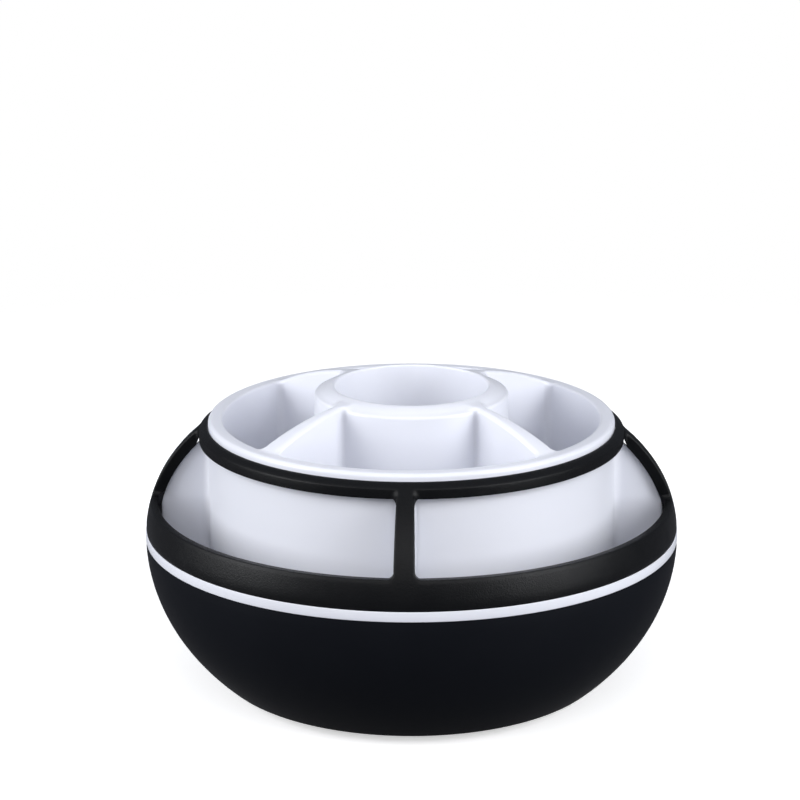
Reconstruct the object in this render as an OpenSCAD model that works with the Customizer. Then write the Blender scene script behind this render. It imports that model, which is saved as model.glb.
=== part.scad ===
// Round rotating desk caddy: a bowl-shaped body with a compartment tray, four side
// pockets and a centre cup, turning on a ball-bearing foot.
// Millimetres, +Z up. The origin is on the table, on the turning axis.

/* [Body] */
// Widest diameter of the body, at its equator
body_d = 150; // [146:1:158]
// Height of the equator above the table
equator_z = 43.3; // [42:0.1:48]
// Semi-axis of the upper curve above the equator
dome_rise = 49.5; // [48:0.5:54]
// Semi-axis of the lower curve below the equator
bowl_drop = 59; // [56:0.5:64]
// Wall of the bowl and the upper shell
wall = 1.9; // [1.8:0.1:2.6]
// Height of the bowl's flat underside above the table
underside_z = 2; // [1.5:0.1:2.5]
// Height of the rounded corner between the bowl's side and its underside
corner_h = 1.5; // [1:0.1:2]

/* [Trim band] */
// Height of the white band
band_h = 2.9; // [2:0.1:4]
// How far the band's lower edge lies below the equator
band_below = 0.5; // [0:0.1:1.5]

/* [Upper shell] */
// Height of the top ring's flat face above the equator
ring_h = 31.7; // [30:0.1:33]
// Width of the top ring, from the tray's rim to the windows
ring_w = 2.4; // [2:0.1:4]
// Height of the window sills above the equator
sill_h = 10.3; // [8:0.1:13]
// Angle that each post covers, in degrees
post_angle = 4.4; // [3:0.1:8]
// Radius in the corners of the windows
window_corner_r = 1.8; // [1:0.1:4]
// Length of the tongue that reaches down inside the bowl
tongue_h = 5; // [4:0.1:7]
// Thickness of the tongue
tongue_t = 1.3; // [1:0.1:1.6]
// Height of the snap bead on the tongue
bead_h = 1.2; // [0.8:0.1:1.6]
// How far the snap bead stands out
bead_out = 0.4; // [0.2:0.1:0.6]

/* [Tray] */
// Outer diameter of the tray's rim
rim_d = 113.8; // [110:0.2:116]
// Width of the rim
rim_w = 4.2; // [4:0.1:6]
// How far the rim stands above the top ring
rim_proud = 1.9; // [1:0.1:3]
// Radius on the rim's outer edge
rim_round = 1.2; // [0.5:0.1:1.5]
// Wall of the tray
skin = 1.5; // [1.2:0.1:1.6]
// Inner diameter of the centre cup
cup_d = 42.8; // [38:0.2:46]
// Width of the cup's rounded top
cup_rim_w = 5.7; // [4.5:0.1:7]
// Height of the cup above the tray's rim
cup_rise = 8.7; // [5:0.1:12]
// How far the cup's outer shoulder lies below its inner edge
cup_shoulder = 2.5; // [1:0.1:3.5]
// Height of the cup's floor above the table
cup_floor_z = 19.2; // [19:0.1:24]
// Height of the four compartments' floor above the table
compartment_floor_z = 36; // [30:0.5:50]
// Height of the four side pockets' floor above the table
pocket_floor_z = 16; // [15:0.1:24]
// Thickness of the four dividers at the cup
divider_t = 3.2; // [2.4:0.1:4.8]
// Thickness of the dividers at the rim
divider_rim_t = 6.2; // [5:0.1:8]
// Radius of the convex arc along each divider's top
divider_arc_r = 90; // [50:1:140]
// How far below the cup's top a divider leaves the cup's rounding
divider_below = 0.5; // [0.3:0.1:1]
// Thickness of the plates between the side pockets
plate_t = 1.8; // [1.4:0.1:2.4]

/* [Tray fixing] */
// Radius of the circle that the four tray screws lie on
screw_circle_r = 47.6; // [47.2:0.1:48]
// Outer diameter of the screw posts
post_d = 7; // [6:0.1:7.4]
// Height of the bowl's bosses above its floor
boss_h = 6; // [4:0.1:8]
// Diameter of the tray screws' shanks
tray_screw_d = 3; // [2.5:0.1:3.2]
// Diameter of the tray screws' heads
tray_screw_head_d = 5.6; // [5:0.1:5.8]
// Height of the screw heads
screw_head_h = 1.8; // [1.4:0.1:2]
// Length of the tray screws below their heads
tray_screw_l = 15; // [12:0.5:18]

/* [Foot] */
// Diameter of the foot disc
foot_d = 80; // [78:0.5:82]
// Thickness of the foot disc
foot_t = 3.4; // [3.2:0.1:3.6]
// Diameter of the four rubber pads
pad_d = 10; // [8:0.5:11]
// Thickness of the rubber pads
pad_h = 1.6; // [1.4:0.1:1.8]
// How far the pads stand out below the foot disc
pad_proud = 0.8; // [0.6:0.1:1]
// Radius of the circle that the pads lie on
pad_circle_r = 33; // [30:0.5:34]
// Diameter of the post that the caddy turns on
pivot_d = 8; // [7:0.1:9]
// Wall around the bearing hole in the bowl's hub
hub_wall = 4; // [3:0.1:5]
// Height of the hub above the bearing's platform
hub_h = 1.4; // [1:0.1:1.6]

/* [Bearing] */
// Diameter of the steel balls
ball_d = 4; // [3.6:0.1:4.2]
// Number of balls
ball_count = 16; // [8:4:20]
// Radius of the circle that the balls run on
track_r = 26; // [25.6:0.1:26.4]
// Thickness of each steel race
race_t = 1.6; // [1.4:0.1:1.8]
// Gap between the two races' facing sides
race_gap = 2.4; // [2.2:0.1:2.6]
// Width of the ball cage
cage_w = 4.8; // [4.6:0.1:5]
// Thickness of the ball cage
cage_t = 1.6; // [1.2:0.1:1.6]
// Distance from the track to each race's screws
race_screw_reach = 5.2; // [5:0.1:5.4]
// Width of the race beyond its screws
race_lip = 3; // [2.8:0.1:3.4]
// Width of the race on the side that has no screws
race_back = 3; // [2.6:0.1:3.2]
// Diameter of the race screws' shanks
race_screw_d = 2; // [1.8:0.1:2.2]
// Diameter of the race screws' heads
race_screw_head_d = 4; // [3.6:0.1:4.2]
// Height of the race screws' heads
race_screw_head_h = 1.1; // [0.8:0.1:1.2]
// Length of the race screws below the race
race_screw_l = 2.6; // [2:0.1:2.7]

/* [Pivot fixing] */
// Outer diameter of the retaining washer
washer_d = 14; // [13:0.5:15]
// Thickness of the retaining washer
washer_t = 0.9; // [0.8:0.1:1]
// Diameter of the pivot screw's shank
pivot_screw_d = 3; // [2.5:0.1:3.2]
// Diameter of the pivot screw's head
pivot_screw_head_d = 7; // [6:0.1:7.5]
// Height of the pivot screw's head
pivot_screw_head_h = 1.6; // [1.4:0.1:1.7]
// Length of the pivot screw below its head
pivot_screw_l = 9; // [7:0.5:9]

/* [Fits] */
// Gap between fixed pieces that fit into each other
fit_gap = 0.2; // [0.15:0.05:0.3]
// Gap beside pieces that turn
turn_gap = 1.5; // [1:0.1:1.8]
// Upright gap between pieces that turn against each other
face_gap = 0.3; // [0.3:0.05:0.4]
// Running clearance of the pivot, on the radius
run_gap = 0.05; // [0.03:0.01:0.08]
// Clearance of the balls in their grooves, on the radius
ball_gap = 0.03; // [0.02:0.01:0.05]
// Clearance of the screws in their holes, on the radius
screw_gap = 0.05; // [0.04:0.01:0.1]

/* [Hidden] */

$fn = 96;
SIDES = 4;              // windows, posts, compartments, dividers and pads
STEP = 360 / SIDES;
HALF = STEP / 2;
CURVE_STEPS = 22;       // straight steps along a body curve
ROUND_STEPS = 6;        // straight steps along a small rounding
OVER = 1;               // how far a cut runs past the face that it leaves
SINK = 0.4;             // how far a wall reaches into the wall that it joins

body_r = body_d / 2;
band_z0 = equator_z - band_below;
band_z1 = band_z0 + band_h;
ring_z = equator_z + ring_h;
sill_z = equator_z + sill_h;
rim_r = rim_d / 2;
rim_in_r = rim_r - rim_w;
rim_z = ring_z + rim_proud;
hole_r = rim_r + fit_gap;
window_top_r = hole_r + ring_w;

cup_r = cup_d / 2;
cup_out_r = cup_r + cup_rim_w;
cup_z = rim_z + cup_rise;
shoulder_z = cup_z - cup_shoulder;
divider_z = cup_z - divider_below;
cup_top_in = [cup_r + rim_round / 2, cup_z];
cup_top_out = [cup_out_r, shoulder_z];
cup_top_r = 2 * cup_rim_w;
cup_top_c = arc_centre(cup_top_in, cup_top_out, cup_top_r);
divider_in_r = cup_top_c[0] + sqrt(cup_top_r * cup_top_r - (divider_z - cup_top_c[1]) * (divider_z - cup_top_c[1]));

// The stack of the foot and its bearing, from the table up
foot_z0 = pad_proud;
foot_z1 = foot_z0 + foot_t;
lower_race_z1 = foot_z1 + race_t;
ball_z = lower_race_z1 + race_gap / 2;
upper_race_z0 = lower_race_z1 + race_gap;
platform_z0 = upper_race_z0 + race_t;
platform_z1 = platform_z0 + wall;
hub_z1 = platform_z1 + hub_h;
washer_z0 = hub_z1 + face_gap;
washer_z1 = washer_z0 + washer_t;
foot_r = foot_d / 2;
well_r = foot_r + turn_gap;
pivot_r = pivot_d / 2;
hub_r = pivot_r + run_gap + hub_wall;
groove_r = ball_d / 2 + ball_gap;
lower_screw_r = track_r - race_screw_reach;
upper_screw_r = track_r + race_screw_reach;

// Tray fixing, from the bowl's floor up
bowl_floor_z = underside_z + wall;
boss_z1 = bowl_floor_z + boss_h;
head_seat_z = underside_z + screw_head_h + 2 * fit_gap;

// A point on the upper curve at the angle t, moved inwards by off
function upper_point(t, off) =
    let (nx = cos(t) / body_r, nz = sin(t) / dome_rise, l = norm([nx, nz]))
    [body_r * cos(t) - off * nx / l, equator_z + dome_rise * sin(t) - off * nz / l];

// A point on the lower curve at the angle t, moved inwards by off
function lower_point(t, off) =
    let (nx = cos(t) / body_r, nz = sin(t) / bowl_drop, l = norm([nx, nz]))
    [body_r * cos(t) - off * nx / l, equator_z - bowl_drop * sin(t) + off * nz / l];

// Radius of the lower curve, moved inwards by off, near the height z
function lower_r(z, off) = lower_point(asin((equator_z - z) / bowl_drop), off)[0];

// Centre of the arc of radius r from p to q that bulges upwards
function arc_centre(p, q, r) =
    let (d = norm(q - p), side = [-(q - p)[1], (q - p)[0]] / d)
    (p + q) / 2 - sqrt(r * r - d * d / 4) * side;

// Points on that arc, with p the inner end
function arc_over(p, q, r, n) =
    let (c = arc_centre(p, q, r),
         a0 = atan2(p[1] - c[1], p[0] - c[0]), a1 = atan2(q[1] - c[1], q[0] - c[0]))
    [for (i = [0 : n]) let (a = a0 + (a1 - a0) * i / n) c + r * [cos(a), sin(a)]];

// Points on a quarter round of radius r about c, from the angle a0
function quarter(c, r, a0) =
    [for (i = [0 : ROUND_STEPS]) let (a = a0 - 90 * i / ROUND_STEPS) c + r * [cos(a), sin(a)]];

// The angle at which the bowl's bottom corner starts, and the corner's radius
corner_t = asin((equator_z - underside_z - corner_h) / bowl_drop);
corner_n = let (nx = cos(corner_t) / body_r, nz = sin(corner_t) / bowl_drop) [nx, nz] / norm([nx, nz]);
corner_r = corner_h / (1 - corner_n[1]);
corner_c = lower_point(corner_t, corner_r);
corner_a = atan2(corner_n[1], corner_n[0]);

// Half section of the space inside the whole body curve moved inwards by off
module body_space(off) {
    top_t = asin(ring_h / dome_rise);
    intersection() {
        polygon(concat(
            [[0, underside_z + off]],
            [for (i = [ROUND_STEPS : -1 : 1])
                let (a = corner_a + (90 - corner_a) * i / ROUND_STEPS)
                corner_c + (corner_r - off) * [cos(a), -sin(a)]],
            [for (i = [CURVE_STEPS : -1 : 1]) lower_point(corner_t * i / CURVE_STEPS, off)],
            [for (i = [0 : CURVE_STEPS]) upper_point(top_t * i / CURVE_STEPS, off)],
            [[0, upper_point(top_t, off)[1]]]));
        square([body_r, ring_z - off]);
    }
}

// Places its children at the same place in all four quarters, from the angle a
module quarters(a = 0) {
    for (i = [0 : SIDES - 1])
        rotate(a + i * STEP) children();
}

// A half-section band from the height z0 to z1, from the radius r0 to r1
module band2d(r0, r1, z0, z1) {
    translate([r0, z0]) square([r1 - r0, z1 - z0]);
}

// An upright cylinder of radius r from the height z0 to z1
module rod(r, z0, z1) {
    translate([0, 0, z0]) cylinder(h = z1 - z0, r = r);
}

// ---------------------------------------------------------------- foot and bearing

// Foot disc with its turning post; it stands still on the table
module foot_disc() {
    boss_r = hub_r + SINK;
    color("#1d1f22")
    difference() {
        union() {
            rod(foot_r, foot_z0, foot_z1);
            rod(boss_r, foot_z1 - SINK, platform_z0 - 2 * face_gap);
            rod(pivot_r, foot_z1 - SINK, washer_z0);
        }
        quarters(HALF) translate([pad_circle_r, 0])
            rod(pad_d / 2 + screw_gap, foot_z0 - OVER, pad_h + screw_gap);
        quarters() translate([lower_screw_r, 0])
            rod(race_screw_d / 2 + screw_gap, foot_z1 - race_screw_l, foot_z1 + OVER);
        rod(pivot_screw_d / 2 + screw_gap, washer_z1 - pivot_screw_l - fit_gap, washer_z1);
    }
}

// Rubber pad number i
module foot_pad(i) {
    color("#2b2c2e")
    rotate(HALF + (i - 1) * STEP) translate([pad_circle_r, 0]) rod(pad_d / 2, 0, pad_h);
}

// Steel race from the height z0, with its groove facing the balls
module race(z0, inner_r, outer_r, screw_r) {
    color("#b9bdc2")
    difference() {
        rotate_extrude()
            difference() {
                band2d(inner_r, outer_r, z0, z0 + race_t);
                translate([track_r, ball_z]) circle(r = groove_r);
            }
        quarters() translate([screw_r, 0])
            rod(race_screw_d / 2 + screw_gap, z0 - OVER, z0 + race_t + OVER);
    }
}

module lower_race() {
    race(foot_z1, lower_screw_r - race_lip, track_r + race_back, lower_screw_r);
}

module upper_race() {
    race(upper_race_z0, track_r - race_back, upper_screw_r + race_lip, upper_screw_r);
}

// Four pan-head screws whose heads seat at the height z, on top (up = 1) or below (up = -1)
module race_screws(r, z, up) {
    color("#8f9398")
    quarters() translate([r, 0, z]) mirror([0, 0, up > 0 ? 0 : 1]) {
        rod(race_screw_head_d / 2, 0, race_screw_head_h);
        rod(race_screw_d / 2, fit_gap - race_t - race_screw_l, SINK);
    }
}

module lower_race_screws() { race_screws(lower_screw_r, lower_race_z1, 1); }

module upper_race_screws() { race_screws(upper_screw_r, upper_race_z0, -1); }

// Moulded cage that keeps the balls apart
module ball_cage() {
    color("#d8d4c4")
    difference() {
        rotate_extrude()
            band2d(track_r - cage_w / 2, track_r + cage_w / 2, ball_z - cage_t / 2, ball_z + cage_t / 2);
        for (i = [0 : ball_count - 1])
            rotate(i * 360 / ball_count) translate([track_r, 0])
                rod(ball_d / 2 + screw_gap, ball_z - cage_t, ball_z + cage_t);
    }
}

module bearing_balls() {
    color("#c9ccd0")
    for (i = [0 : ball_count - 1])
        rotate(i * 360 / ball_count) translate([track_r, 0, ball_z]) sphere(d = ball_d);
}

module retaining_washer() {
    color("#b9bdc2")
    difference() {
        rod(washer_d / 2, washer_z0, washer_z1);
        rod(pivot_screw_d / 2 + screw_gap, washer_z0 - OVER, washer_z1 + OVER);
    }
}

module pivot_screw() {
    color("#8f9398") {
        rod(pivot_screw_head_d / 2, washer_z1, washer_z1 + pivot_screw_head_h);
        rod(pivot_screw_d / 2, washer_z1 - pivot_screw_l, washer_z1 + SINK);
    }
}

// ---------------------------------------------------------------- turning body

// Radii of the tongue under the upper shell, which the trim band and the bowl fit around
tongue_z0 = band_z0 - tongue_h;
tongue_r = lower_r(tongue_z0, wall) - fit_gap;
tongue_in_r = tongue_r - tongue_t;
bead_z = band_z0 - tongue_h / 2;

// Half section of the snap bead, larger by gap all round
module bead2d(gap) {
    polygon([[tongue_in_r + SINK, bead_z - bead_h / 2 - gap],
             [tongue_r, bead_z - bead_h / 2 - gap],
             [tongue_r + bead_out + gap, bead_z],
             [tongue_r, bead_z + bead_h / 2 + gap],
             [tongue_in_r + SINK, bead_z + bead_h / 2 + gap]]);
}

// Lower bowl with the well that the bearing sits in
module lower_bowl() {
    color("#121418")
    difference() {
        union() {
            rotate_extrude()
                difference() {
                    intersection() {
                        body_space(0);
                        square([body_r + OVER, band_z0]);
                    }
                    difference() {
                        body_space(wall);
                        square([well_r + wall, platform_z1]);
                    }
                    bead2d(fit_gap);
                }
            rod(hub_r, platform_z1 - SINK, hub_z1);
            quarters(HALF) translate([screw_circle_r, 0])
                rod(post_d / 2, bowl_floor_z - SINK, boss_z1);
            quarters() translate([upper_screw_r, 0])
                rod(race_screw_d / 2 + wall, platform_z1 - SINK, platform_z1 + hub_h);
        }
        rod(well_r, underside_z - OVER, platform_z0);
        rod(pivot_r + run_gap, platform_z0 - OVER, hub_z1 + OVER);
        quarters(HALF) translate([screw_circle_r, 0]) {
            rod(tray_screw_head_d / 2 + fit_gap, underside_z - OVER, head_seat_z);
            rod(tray_screw_d / 2 + fit_gap, underside_z, boss_z1 + OVER);
        }
        quarters() translate([upper_screw_r, 0])
            rod(race_screw_d / 2 + screw_gap, platform_z0 - OVER, platform_z0 + race_screw_l);
    }
}

// White band around the equator, held between the shell and the bowl
module trim_band() {
    color("#e9ecf2")
    rotate_extrude()
        difference() {
            intersection() {
                body_space(0);
                band2d(0, body_r + OVER, band_z0, band_z1);
            }
            band2d(0, tongue_r + fit_gap, band_z0 - OVER, band_z1 + OVER);
        }
}

// Plan of a post and of the roundings where it meets the top ring
module post_plan() {
    half_w = window_top_r * tan(post_angle / 2);
    c = [window_top_r + window_corner_r, half_w + window_corner_r];
    polygon([[0, 0], [body_r, body_r * tan(post_angle / 2)], [body_r, -body_r * tan(post_angle / 2)]]);
    for (s = [-1, 1])
        difference() {
            translate([hole_r, s > 0 ? 0 : -c[1]]) square([c[0] - hole_r, c[1]]);
            translate([c[0], s * c[1]]) circle(r = window_corner_r);
        }
}

// Outline of the roundings where a post meets the sill, as seen along the post
module post_foot() {
    half_w = body_r * tan(post_angle / 2);
    w = half_w + window_corner_r;
    difference() {
        translate([-w, sill_z - SINK]) square([2 * w, window_corner_r + SINK]);
        for (s = [-1, 1])
            translate([s * w, sill_z + window_corner_r]) circle(r = window_corner_r);
    }
}

// Upper shell: lower band, four posts and the top ring in one piece
module upper_shell() {
    color("#17181b") {
        intersection() {
            rotate_extrude()
                difference() {
                    intersection() {
                        body_space(0);
                        band2d(hole_r, body_r + OVER, band_z1, ring_z + OVER);
                    }
                    body_space(wall);
                }
            union() {
                rod(body_r + OVER, band_z1 - OVER, sill_z);
                rod(window_top_r, sill_z - OVER, ring_z + OVER);
                quarters() {
                    translate([0, 0, sill_z - OVER]) linear_extrude(ring_z + OVER - sill_z) post_plan();
                    rotate([90, 0, 90]) linear_extrude(body_r + OVER) post_foot();
                }
            }
        }
        rotate_extrude() {
            band2d(tongue_in_r, tongue_r, tongue_z0, band_z1 + SINK);
            polygon([[tongue_in_r, band_z1], [body_r - wall / 2, band_z1],
                     [body_r - wall / 2, band_z1 + wall], [tongue_in_r, band_z1 + wall]]);
            bead2d(0);
        }
    }
}

// Half section of the tray, all that is the same all the way round
module tray_section() {
    liner_off = wall + fit_gap;
    liner_z1 = tongue_z0 - fit_gap;
    // Rim with its two skins, cored out from below
    difference() {
        polygon(concat(
            [[rim_in_r, compartment_floor_z - skin], [rim_in_r, rim_z - rim_round / 2]],
            quarter([rim_in_r + rim_round / 2, rim_z - rim_round / 2], rim_round / 2, 180),
            quarter([rim_r - rim_round, rim_z - rim_round], rim_round, 90),
            [[rim_r, pocket_floor_z - skin], [rim_r - skin, pocket_floor_z - skin],
             [rim_r - skin, compartment_floor_z - skin]]));
        band2d(rim_in_r + skin, rim_r - skin, 0, ring_z - skin);
    }
    // Centre cup with its rounded top, cored out from below
    difference() {
        union() {
            band2d(cup_r, cup_out_r, compartment_floor_z - skin, shoulder_z);
            polygon(concat(
                [[cup_r, shoulder_z - SINK], [cup_r, cup_z - rim_round / 2]],
                quarter([cup_r + rim_round / 2, cup_z - rim_round / 2], rim_round / 2, 180),
                arc_over(cup_top_in, cup_top_out, cup_top_r, ROUND_STEPS),
                [[cup_out_r, shoulder_z - SINK]]));
        }
        band2d(cup_r + skin, cup_out_r - skin, 0, shoulder_z - skin);
    }
    band2d(cup_r, cup_r + skin, cup_floor_z - skin, compartment_floor_z);
    band2d(0, cup_r + SINK, cup_floor_z - skin, cup_floor_z);
    // Floor of the compartments
    band2d(cup_out_r - skin, rim_in_r + skin, compartment_floor_z - skin, compartment_floor_z);
    // Floor and outer wall of the side pockets
    difference() {
        intersection() {
            body_space(liner_off);
            band2d(rim_r - skin, body_r, pocket_floor_z - skin, liner_z1);
        }
        intersection() {
            body_space(liner_off + skin);
            band2d(rim_r - SINK, body_r, pocket_floor_z, liner_z1 + OVER);
        }
    }
}

// Side view of a divider, whose top runs from the cup's rounding down to the rim
module divider_side() {
    outer_r = rim_in_r + SINK;
    polygon(concat(
        [[cup_out_r - SINK, compartment_floor_z - skin],
         [cup_out_r - SINK, shoulder_z - SINK], [divider_in_r, shoulder_z - SINK]],
        arc_over([divider_in_r, divider_z], [outer_r, rim_z], divider_arc_r, 2 * ROUND_STEPS),
        [[outer_r, compartment_floor_z - skin]]));
}

// Divider that grows thicker from the cup to the rim
module divider() {
    a = divider_t / 2;
    b = divider_rim_t / 2;
    intersection() {
        sheet(divider_rim_t) divider_side();
        linear_extrude(cup_z)
            polygon([[0, a], [cup_out_r, a], [rim_in_r, b], [rim_r, b],
                     [rim_r, -b], [rim_in_r, -b], [cup_out_r, -a], [0, -a]]);
    }
}

// Side view of a plate between two side pockets, following the shell's inside
module plate_side() {
    intersection() {
        body_space(wall + 2 * fit_gap);
        band2d(rim_r - SINK, tongue_in_r - 2 * fit_gap, pocket_floor_z - SINK, ring_z);
    }
}

// Upright sheet of thickness t that stands in the half-section plane
module sheet(t) {
    rotate([90, 0, 0]) linear_extrude(t, center = true) children();
}

// White tray: cup, four compartments, four side pockets and four screw posts
module inner_tray() {
    color("#e9ecf2")
    difference() {
        union() {
            rotate_extrude() tray_section();
            quarters(HALF) divider();
            quarters() sheet(plate_t) plate_side();
            quarters(HALF) translate([screw_circle_r, 0])
                rod(post_d / 2, boss_z1 + fit_gap, compartment_floor_z - skin / 2);
        }
        quarters(HALF) translate([screw_circle_r, 0])
            rod(tray_screw_d / 2 + screw_gap, boss_z1, head_seat_z + tray_screw_l + fit_gap);
    }
}

module tray_screws() {
    color("#8f9398")
    quarters(HALF) translate([screw_circle_r, 0]) {
        rod(tray_screw_head_d / 2, head_seat_z - screw_head_h, head_seat_z);
        rod(tray_screw_d / 2, head_seat_z - SINK, head_seat_z + tray_screw_l);
    }
}

foot_disc();
foot_pad(1);  // foot_pad_1
foot_pad(2);  // foot_pad_2
foot_pad(3);  // foot_pad_3
foot_pad(4);  // foot_pad_4
lower_race();
lower_race_screws();
retaining_washer();
pivot_screw();
ball_cage();
bearing_balls();
upper_race();
upper_race_screws();
lower_bowl();
trim_band();
inner_tray();
upper_shell();
tray_screws();
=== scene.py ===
"""Looks of a round rotating desk caddy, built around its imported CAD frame."""
import math
import bmesh
import bpy
from bpy.props import FloatProperty, FloatVectorProperty, IntProperty, PointerProperty
from mathutils import Matrix, Vector


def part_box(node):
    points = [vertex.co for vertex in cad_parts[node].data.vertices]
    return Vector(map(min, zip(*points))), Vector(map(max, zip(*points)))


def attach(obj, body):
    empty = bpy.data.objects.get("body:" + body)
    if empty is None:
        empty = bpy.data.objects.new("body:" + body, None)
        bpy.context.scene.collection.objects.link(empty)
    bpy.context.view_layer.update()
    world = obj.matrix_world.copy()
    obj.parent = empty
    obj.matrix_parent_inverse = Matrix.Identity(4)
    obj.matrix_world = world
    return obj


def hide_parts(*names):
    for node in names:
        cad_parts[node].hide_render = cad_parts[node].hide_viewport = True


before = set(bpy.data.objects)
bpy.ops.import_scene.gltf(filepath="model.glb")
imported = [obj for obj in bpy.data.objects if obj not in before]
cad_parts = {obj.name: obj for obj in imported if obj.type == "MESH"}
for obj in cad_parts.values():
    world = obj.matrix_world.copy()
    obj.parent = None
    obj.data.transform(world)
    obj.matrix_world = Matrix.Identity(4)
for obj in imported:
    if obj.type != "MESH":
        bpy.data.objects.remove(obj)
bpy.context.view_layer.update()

bl_info = {
    "name": "Rotating Desk Caddy",
    "version": (1, 0, 0),
    "blender": (4, 5, 0),
    "location": "View3D > Sidebar > Desk Caddy",
    "description": "Builds the finished pieces, materials and stage of a rotating desk caddy",
    "category": "Object",
}

NODE_BOX = {node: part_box(node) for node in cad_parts}
MM = 0.001
QUARTER = math.tau / 4
HOLE_STEPS = 32  # faces round a screw's bore

# Small measures that several pieces share, in millimetres.
BAND_DROP = 0.2  # how far the band's top edge lies below its node's top
PILOT_R = 1.55  # pilot bore of a 3 mm screw
PILOT_END = 0.2  # how far a pilot bore goes on past its screw's end
BOSS_H = 6  # height of the bowl's bosses for the tray screws above its floor
CUP_ROUND = 0.6  # rounding of the cup's inner edge
RIM_ROUND = 1.2  # rounding of the rim's outer edge
RIM_TOP_IN = 0.4  # how far the divider's top reaches over the rim


def node_top(node):
    """Height of a CAD node's highest point, in millimetres."""
    return NODE_BOX[node][1].z / MM


def node_bottom(node):
    """Height of a CAD node's lowest point, in millimetres."""
    return NODE_BOX[node][0].z / MM


def node_radius(node):
    """Largest distance of a CAD node from the turning axis along X, in millimetres."""
    return NODE_BOX[node][1].x / MM


def srgb(hex_colour):
    """Linear colour of an sRGB hex value such as "#14161b"."""
    channels = [int(hex_colour[i:i + 2], 16) / 255 for i in (1, 3, 5)]
    return [c / 12.92 if c <= 0.04045 else ((c + 0.055) / 1.055) ** 2.4 for c in channels]


def mm(label, about, millimetres):
    """A length property, which Blender keeps in metres."""
    return FloatProperty(name=label, description=about, default=millimetres * MM, unit="LENGTH")


def colour(label, about, hex_colour):
    """A colour property."""
    return FloatVectorProperty(name=label, description=about, default=srgb(hex_colour), size=3,
                               min=0, max=1, subtype="COLOR")


class CaddySizes(bpy.types.PropertyGroup):
    """Sizes of the caddy's pieces; those that the frame gives come from it."""

    body_r: mm("Body radius", "Radius at the widest circle", node_radius("trim_band"))
    equator_z: mm("Equator", "Height of the widest circle", node_bottom("trim_band") + 0.5)
    dome_rise: mm("Dome rise", "Rise of the curve above the equator", 49.5)
    bowl_drop: mm("Bowl drop", "Fall of the curve below the equator", 59)
    wall: mm("Wall", "Wall of the bowl and the shell", 1.9)
    corner_h: mm("Bowl corner", "Where the bottom corner starts", 1.5)
    ring_w: mm("Ring width", "Width of the top ring", 2.4)
    post_rib: mm("Post rib", "Extra depth of the posts", 1.3)
    post_fade: mm("Post fade", "Where that ends below the ring", 1.8)
    sill_h: mm("Sill height", "Sills above the equator", 10.3)
    post_angle: FloatProperty(name="Post angle", description="Angle that each post covers",
                              default=math.radians(4.4), subtype="ANGLE")
    window_corner_r: mm("Window corner", "Radius in the windows' corners", 1.8)
    edge_round: mm("Edge rounding", "Rounding of the windows' edges", 0.5)
    ring_round: mm("Ring rounding", "Rounding above the windows", 1.1)
    bevel_h: mm("Bevel height", "Soft bevel above the band", 2)
    bevel_in: mm("Bevel depth", "Step in beside the band", 0.15)
    tongue_t: mm("Tongue", "Thickness inside the bowl", 1.3)
    rim_r: mm("Rim radius", "Outer radius of the tray's rim", 56.9)
    rim_w: mm("Rim width", "Width of the tray's rim", 4.2)
    rim_proud: mm("Rim height", "Rim above the top ring", 1.9)
    skin: mm("Tray wall", "Wall of the tray", 1.5)
    cup_r: mm("Cup radius", "Inner radius of the centre cup", 21.4)
    cup_rim_w: mm("Cup rim", "Width of the cup's rounded top", 5.7)
    cup_shoulder: mm("Cup shoulder", "Drop of the cup's rounded top", 2.5)
    cup_floor_z: mm("Cup floor", "Height of the cup's floor", 19.2)
    box_floor_z: mm("Compartment floor", "Height of the compartments' floor", 36)
    pocket_floor_z: mm("Pocket floor", "Height of the side pockets' floor", 16)
    divider_t: mm("Divider", "Their thickness at the cup", 3.2)
    divider_rim_t: mm("Divider at rim", "Their thickness at the rim", 6.2)
    divider_below: mm("Divider start", "Start below the cup's top", 0.5)
    divider_arc_r: mm("Divider arc", "Arc along a divider's top", 90)
    plate_t: mm("Plate", "Plates between side pockets", 1.8)
    well_gap: mm("Well gap", "Foot disc to the bowl's well", 1.5)
    fit_gap: mm("Fit gap", "Gap between fixed pieces", 0.2)
    screw_circle_r: mm("Screw circle", "Radius of the tray screws' circle", 47.6)
    screw_post_r: mm("Screw post", "Posts for the tray screws", 3.5)
    screw_hole_r: mm("Screw recess", "Recesses of the tray screws", 3.0)
    pivot_r: mm("Pivot", "Post that the caddy turns on", 4)
    hub_wall: mm("Hub wall", "Wall around the hub's bore", 4)
    run_gap: mm("Running gap", "Pivot to its bore", 0.05)
    round_steps: IntProperty(name="Steps round", description="Faces in a quarter turn",
                             default=60, min=24, max=120)


class CaddyColours(bpy.types.PropertyGroup):
    """Colours of the caddy's finishes."""

    bowl: colour("Bowl", "Soft-touch coating of the bowl", "#101217")
    shell: colour("Shell", "Grained plastic of the upper shell", "#0b0c0e")
    tray: colour("Tray", "Glossy plastic of the tray and the band", "#e3e5ed")
    foot: colour("Foot", "Plain plastic of the foot disc", "#17181a")
    rubber: colour("Rubber", "Rubber of the pads", "#1b1b1c")


def sizes():
    """The caddy's sizes in millimetres, by name."""
    group = bpy.context.scene.caddy_sizes
    lengths = {}
    for key in CaddySizes.__annotations__:
        value = getattr(group, key)
        lengths[key] = value if key in ("post_angle", "round_steps") else value / MM
    return type("Sizes", (), lengths)


# ---- mesh helpers


def mixed(a, b, share):
    """The point at a share of the way from a to b."""
    return (a[0] + (b[0] - a[0]) * share, a[1] + (b[1] - a[1]) * share)


def between(a, b, shares):
    """Points of two loops mixed by one share, or by a share of its own at each point."""
    if isinstance(shares, (int, float)):
        shares = [shares] * len(a)
    return [mixed(*pair) for pair in zip(a, b, shares)]


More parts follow.
